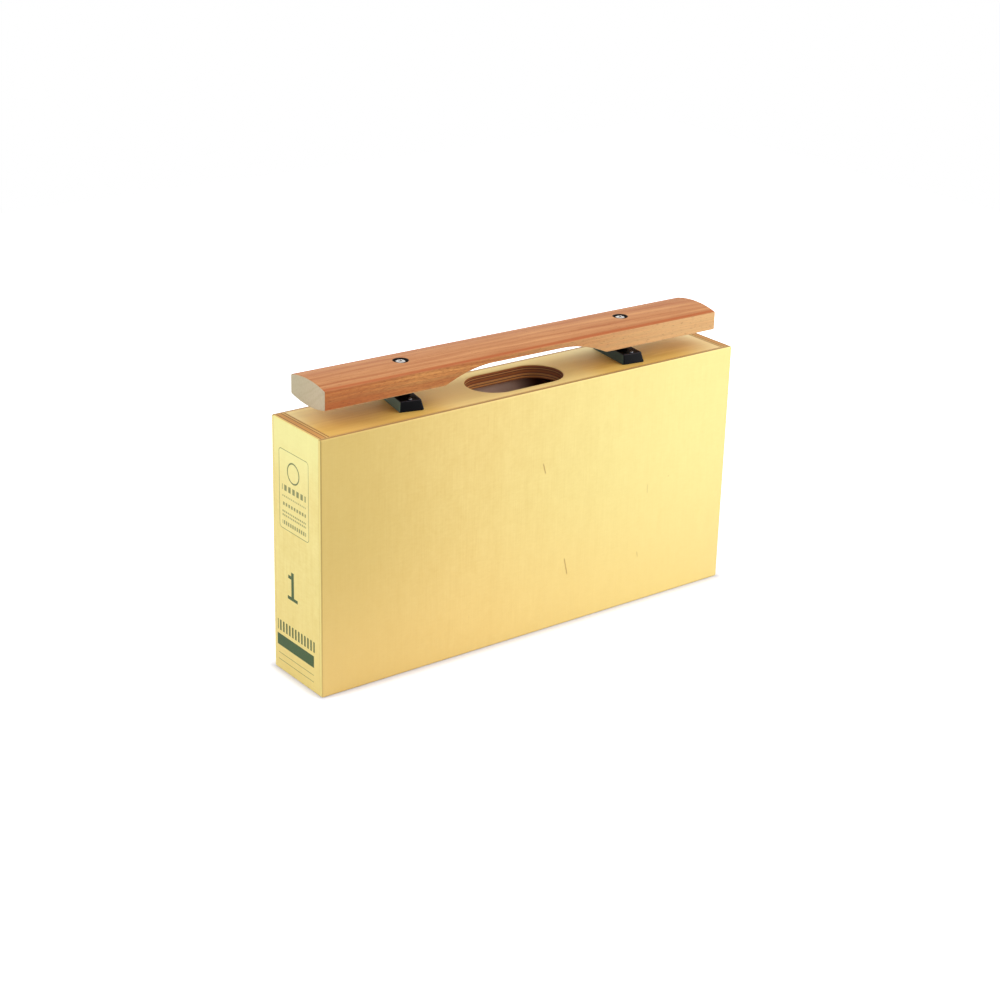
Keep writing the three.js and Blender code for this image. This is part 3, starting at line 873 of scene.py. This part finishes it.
def bar_finish(name):
    """Oiled reddish hardwood: streaks of growth rings cut along the grain, fine fibres, short dark
    pores, pale ringed end grain, a painted highlight on the sides towards the right, and the walls
    of the two stepped holes painted near black, for scorched wood and painted shade."""
    finish = Finish(name)
    place = finish.coordinates(-line_turn, line_middle)
    x, y, z = finish.axes(place)
    nx, _, nz = finish.facing()

    # Growth rings lean across the section and drift along the bar
    drift = finish.noise(place, (160, 20, 20), 2, 0.5)
    ring = y * 0.17 + (z - bar_low_z) * 0.30 + drift * 3.2 + x * 0.0016
    ring_place = finish.node("CombineXYZ", {}, {"X": ring, "Y": x / 420.0, "Z": 0.0})
    ring_wave = finish.noise(ring_place, (1, 1, 1), 3, 0.55)
    cloud = finish.noise(place, (70, 9, 9), 3, 0.6, (3, 1, 0))
    streaks = ring_wave * 2.2 - 0.6 + (cloud - 0.5) * 0.8
    top = finish.mix(streaks, paint(170, 98, 50), paint(218, 158, 102))

    # The sides show the layers and a short figure, with a painted highlight that makes them paler to
    # the right, and they are redder at the left end
    flank = finish.mix(streaks, paint(170, 94, 38), paint(218, 152, 80))
    layer = finish.noise(place, (150, 2.6, 2.6), 2, 0.5, (1, 7, 2), 0.4)
    figure = finish.noise(place, (4.2, 0.9, 0.9), 3, 0.65, (2, 0, 5))
    flank = finish.mix(finish.step(layer, 0.46, 0.62) * 0.6, flank, paint(166, 118, 62))
    flank = finish.mix(finish.step(figure, 0.42, 0.66) * 0.45, flank, paint(142, 78, 34))
    flank = finish.mix(finish.step(x, -60, 200) * 0.75, flank, paint(238, 194, 132))
    flank = finish.mix(finish.step(x, -100, -200) * 0.5, flank, paint(176, 88, 34))
    side = finish.step(nz, 0.75, 0.35)
    colour = finish.mix(side, top, flank)
    colour = finish.mix(finish.step(nz, -0.1, -0.7) * 0.7, colour, paint(226, 190, 140))

    # Fibres, open pores, and a redder line along both upper edges
    fibre = finish.noise(place, (46, 0.55, 0.55), 3, 0.65)
    fleck = finish.noise(place, (5.5, 0.5, 0.5), 2, 0.55, (0, 9, 4))
    pores = finish.step(fleck, 0.60, 0.72)
    colour = finish.mix((fibre - 0.38) * 0.7, colour, paint(150, 74, 32))
    colour = finish.mix(pores * (0.35 + side * 0.3), colour, paint(104, 52, 26))
    red_edge = finish.line(abs(y), RED_EDGE_PLACE, RED_EDGE_WIDTH, RED_EDGE_SOFT)
    red_edge = red_edge * finish.step(nz, 0.3, 0.8)
    colour = finish.mix(red_edge * 0.8, colour, paint(172, 80, 20))

    # End grain with its rays, and the walls of the holes painted near black: scorched wood and painted
    # shade in the recess
    ray = finish.noise(place, (1, 0.9, 2.4), 3, 0.6)
    grain_end = finish.mix(ring_wave, paint(184, 168, 134), paint(206, 190, 160))
    grain_end = finish.mix(finish.step(y, -20, 26) * 0.4, grain_end, paint(178, 174, 142))
    grain_end = finish.mix((ray - 0.45) * 0.9, grain_end, paint(150, 128, 98))
    end = finish.step(abs(nx), 0.5, 0.85)
    from_hole = distance(abs(x) - node_x, y)
    scorch_and_shade = finish.step(from_hole, SCORCH_SHADE_RADIUS + SCORCH_SHADE_SOFT, SCORCH_SHADE_RADIUS - SCORCH_SHADE_SOFT)
    colour = finish.mix(end * (1 - scorch_and_shade), colour, grain_end)
    return finish.principled(
        Base_Color=finish.mix(scorch_and_shade, colour, paint(20, 15, 12)),
        Roughness=0.56 + (fibre - 0.5) * 0.16 + pores * 0.15 + end * 0.2,
        Normal=finish.bump(fibre * 0.6 - pores * 0.8 + ray * end * 0.8, 0.07, 0.45),
        Specular_IOR_Level=0.3)


def rubber_finish(name):
    """Black moulded rubber with a soft sheen and a fine skin, a painted grey sheen on the left flanks
    and a painted highlight along the upper edges."""
    finish = Finish(name)
    place = finish.coordinates()
    x = finish.axes(place)[0]
    nx, _, nz = finish.facing()
    cloud = finish.noise(place, (7, 7, 7), 3, 0.6)
    skin = finish.noise(place, (0.5, 0.5, 0.5), 2, 0.6)
    colour = finish.mix(cloud, paint(3, 3, 5), paint(11, 12, 14))
    # Painted reflection: the left flanks greyed as if catching light from the left, more on the left
    # block
    painted_flank_sheen = finish.step(nx, -0.6, -0.92) * finish.step(x, 50, -50, 0.3, 0.8)
    colour = finish.mix(painted_flank_sheen, colour, paint(118, 146, 136))
    # Painted highlight along the rounded upper edges, broken up by the skin
    wear_and_highlight = finish.step(nz, 0.35, 0.6) * finish.step(nz, 0.98, 0.85) * finish.step(skin, 0.3, 0.6)
    return finish.principled(
        Base_Color=finish.mix(wear_and_highlight * 0.5, colour, paint(92, 84, 92)),
        Roughness=0.34 + (cloud - 0.5) * 0.25 + (skin - 0.5) * 0.1,
        Normal=finish.bump(skin, 0.03, 0.35),
        Specular_IOR_Level=0.07)


def plastic_finish(name):
    """Dull dark plastic with a cloudy sheen."""
    finish = Finish(name)
    cloud = finish.noise(finish.coordinates(), (3, 3, 3), 3, 0.6)
    return finish.principled(
        Base_Color=finish.mix(cloud, paint(44, 38, 33), paint(66, 57, 50)),
        Roughness=0.5 + cloud * 0.2,
        Normal=finish.bump(cloud, 0.02, 0.4))


def steel_finish(name, dark, light, base_rough, shade_below=None):
    """Plated steel: cloudy plate and fine turning marks, and painted shade below a given height."""
    finish = Finish(name)
    place = finish.coordinates()
    cloud = finish.noise(place, (2.2, 2.2, 2.2), 3, 0.6)
    marks = finish.noise(place, (0.25, 0.25, 2.0), 2, 0.6)
    colour = finish.mix(cloud, dark, light)
    # Painted shade: darker below the given height, on the screw head's side and in its cross recess
    if shade_below is not None:
        z = finish.axes(place)[2]
        shade = finish.step(z, shade_below + 0.2, shade_below - 0.2)
        colour = finish.mix(shade, colour, paint(62, 58, 58))
    return finish.principled(
        Base_Color=colour,
        Roughness=base_rough + (cloud - 0.5) * 0.2 + (marks - 0.5) * 0.1,
        Metallic=1.0,
        Normal=finish.bump(marks, 0.015, 0.5))


finishes = {
    "front": panel_finish("front_birch", -1),
    "back": panel_finish("back_birch", 1),
    "left": end_finish("left_end_birch", -1),
    "right": end_finish("right_end_birch", 1),
    "deck": deck_finish("deck_plywood"),
    "bar": bar_finish("bar_hardwood"),
    "rubber": rubber_finish("block_rubber"),
    "plastic": plastic_finish("sleeve_plastic"),
    "steel": steel_finish("zinc_plate", paint(196, 192, 188), paint(232, 228, 222), 0.24,
                          limits("left_bar_screw")[1][2] - SCREW_SHADE_DEPTH),
    "washer": steel_finish("dull_plate", paint(84, 76, 72), paint(112, 104, 96), 0.45),
    "pin": steel_finish("grey_steel", paint(96, 98, 102), paint(138, 140, 146), 0.26),
}


# Sub-parts

def make_box():
    """Panels, end boards, bottom board, and the top board with its holes."""
    make_piece("birch_front_panel", cover_panel(-1), "front_panel", finishes["front"])
    make_piece("birch_back_panel", cover_panel(1), "back_panel", finishes["back"])
    make_piece("ply_left_end", end_board(-1), "left_end_board", finishes["left"])
    make_piece("ply_right_end", end_board(1), "right_end_board", finishes["right"])
    make_piece("ply_bottom", board_between(*limits("bottom_board")), "bottom_board",
               finishes["deck"])
    low, high = limits("top_board")
    above = high[2] + OVERSHOOT
    cutters = [hole_cutter(low[2], high[2])]
    for name, place in stations.items():
        points, faces = bore_cutter(WASHER_BORE, low[2] - OVERSHOOT, above)
        cutters.append((turned(points, 0, place), faces))
        turn = math.radians(BLOCK_TURN_DEG[name])
        for y in (-PIN_PLACE, PIN_PLACE):
            points, faces = bore_cutter(PIN_BORE, high[2] - PIN_HOLE_DEPTH, above, y)
            cutters.append((turned(points, turn, place), faces))
    make_piece("slotted_top_board", board_between(low, high), "top_board", finishes["deck"], cutters)


def make_station(name, place):
    """The rubber block, its pins, and the ring, sleeve, washer and screw at one node."""
    turn = math.radians(BLOCK_TURN_DEG[name])

    def stand(shape, angle=0.0):
        return turned(shape[0], angle, place), shape[1]

    low, high = limits(f"{name}_support_block")
    below, above = low[2] - OVERSHOOT, high[2] + OVERSHOOT
    cutters = [stand(bore_cutter(BLOCK_BORE, below, above))]
    for y in (-PIN_PLACE, PIN_PLACE):
        cutters.append(stand(bore_cutter(PIN_BORE, below, above, y), turn))
    make_piece(f"{name}_rubber_block", stand(block_body(low[2], high[2]), turn),
               f"{name}_support_block", finishes["rubber"], cutters)

    for end, y in (("front", -PIN_PLACE), ("back", PIN_PLACE)):
        node = f"{name}_block_{end}_pin"
        tip, top = (corner[2] for corner in limits(node))
        points, faces = headed(PIN_SHANK, PIN_HEAD, tip, top - PIN_HEAD_HEIGHT, top, PIN_DOME,
                               SMALL_STEPS)
        shape = stand((points + np.array([0, y, 0]), faces), turn)
        make_piece(f"{name}_{end}_domed_pin", shape, node, finishes["pin"])

    for node, outer, bore, ease, finish in (
        ("cushion_ring", RING_DIAMETER, RING_BORE, RING_EASE, "rubber"),
        ("spacer_sleeve", SLEEVE_DIAMETER, WASHER_BORE, SLEEVE_EASE, "plastic"),
        ("washer", WASHER_DIAMETER, WASHER_BORE, WASHER_EASE, "washer"),
    ):
        low, high = limits(f"{name}_{node}")
        make_piece(f"{name}_round_{node}", stand(tube(outer, bore, low[2], high[2], ease)),
                   f"{name}_{node}", finishes[finish])

    low, high = limits(f"{name}_bar_screw")
    seat = limits(f"{name}_washer")[1][2] + SCREW_SEAT_GAP
    shape = headed(SCREW_SHANK, SCREW_HEAD, low[2], seat, high[2], SCREW_DOME, ROUND_STEPS)
    crosses = [stand(solid, RECESS_TURN) for solid in cross_cutter(high[2])]
    make_piece(f"{name}_pan_screw", stand(shape), f"{name}_bar_screw", finishes["steel"], crosses)


def make_bar():
    """The bar on its line across the box, with its two stepped holes."""
    low, high = limits("tone_bar")
    points, faces = bar_body(low[2] + BAR_BOTTOM_CROWN, high[2] - BAR_TOP_CROWN)
    cutters = []
    for x in (-node_x, node_x):
        cutter_points, cutter_faces = bar_hole_cutter(x, low[2], high[2])
        cutters.append((on_line(cutter_points), cutter_faces))
    make_piece("hardwood_bar", (on_line(points), faces), "tone_bar", finishes["bar"], cutters)


# Studio

def make_camera():
    """The fitted camera. Its three axes come from azimuth, elevation and roll."""
    azimuth, elevation, roll = CAMERA_AZIMUTH, CAMERA_ELEVATION, CAMERA_ROLL
    back = Vector((
        math.sin(azimuth) * math.cos(elevation),
        -math.cos(azimuth) * math.cos(elevation),
        math.sin(elevation),
    ))
    level = (-back).cross(Vector((0, 0, 1))).normalized()
    upright = level.cross(-back)
    right = level * math.cos(roll) + upright * math.sin(roll)
    up = upright * math.cos(roll) - level * math.sin(roll)
    data = bpy.data.cameras.new("camera")
    data.sensor_width = SENSOR_WIDTH
    data.lens = CAMERA_FOCAL_PIXELS * SENSOR_WIDTH / FRAME_PIXELS
    data.clip_start = 0.05
    data.clip_end = 60
    camera = bpy.data.objects.new("camera", data)
    turn = Matrix((right, up, back)).transposed().to_4x4()
    camera.matrix_world = Matrix.Translation(Vector(CAMERA_PLACE) / 1000) @ turn
    bpy.context.scene.collection.objects.link(camera)
    bpy.context.scene.camera = camera


def make_softbox(name, place, aim, size, power):
    """A square white area lamp that looks at a point."""
    data = bpy.data.lights.new(name, "AREA")
    data.shape = "SQUARE"
    data.size = size
    data.energy = power
    lamp = bpy.data.objects.new(name, data)
    lamp.location = place
    lamp.rotation_mode = "QUATERNION"
    lamp.rotation_quaternion = (Vector(aim) - Vector(place)).to_track_quat("-Z", "Y")
    bpy.context.scene.collection.objects.link(lamp)


def seen_directly(finish):
    """1 for rays from the camera, from a mirror-like surface, or through glass."""
    rays = [finish.node("LightPath", out=name) for name in
            ("Is Camera Ray", "Is Glossy Ray", "Is Transmission Ray")]
    return rays[0].most(rays[1]).most(rays[2])


def make_floor():
    """A pale floor that takes the object's shadow. Where it is seen, a little added white lifts it to
    plain white, and that fades out towards the footprint of the box, which paints a narrow shadow
    there."""
    corners = np.array([[1, 1], [-1, 1], [-1, -1], [1, -1]]) * FLOOR_HALF
    floor = bare_object("floor", flat_ring(corners, 0.0), [[0, 1, 2, 3]])
    finish = Finish("floor_white")
    x, y, _ = finish.axes(finish.coordinates())
    past_end = (abs(x) - end_x).most(0.0)
    past_side = ((abs(y) - face_y) * SIDE_SHADOW).most(0.0)
    away = distance(past_end, past_side)
    lift = finish.step(away, CONTACT_START, CONTACT_REACH, 0.0, FLOOR_LIFT)
    lift = lift + finish.step(away, CONTACT_REACH, FAR_REACH, 0.0, FAR_LIFT)
    diffuse = finish.node("BsdfDiffuse", {}, {"Color": paint(232, 233, 244)})
    glow = finish.node("Emission", {}, {"Color": paint(255, 255, 255), "Strength": lift})
    lifted = finish.node("AddShader", {}, {0: diffuse, 1: glow})
    shader = finish.node("MixShader", {}, {0: seen_directly(finish), 1: diffuse, 2: lifted})
    floor.data.materials.append(finish.surfaced(shader))


def make_world():
    """White all round where it is seen, and a softer white as light."""
    finish = Finish("studio", "World")
    strength = finish.step(seen_directly(finish), 0.0, 1.0, WORLD_LIGHT, 1.0)
    sky = finish.node("Background", {}, {"Color": paint(255, 255, 255), "Strength": strength})
    bpy.context.scene.world = finish.surfaced(sky)


make_box()
for station_name, station_place in stations.items():
    make_station(station_name, station_place)
make_bar()

make_camera()
make_floor()
make_world()
for lamp_name, lamp_settings in LAMPS.items():
    make_softbox(lamp_name, *lamp_settings)

bpy.context.scene.view_settings.view_transform = "Standard"
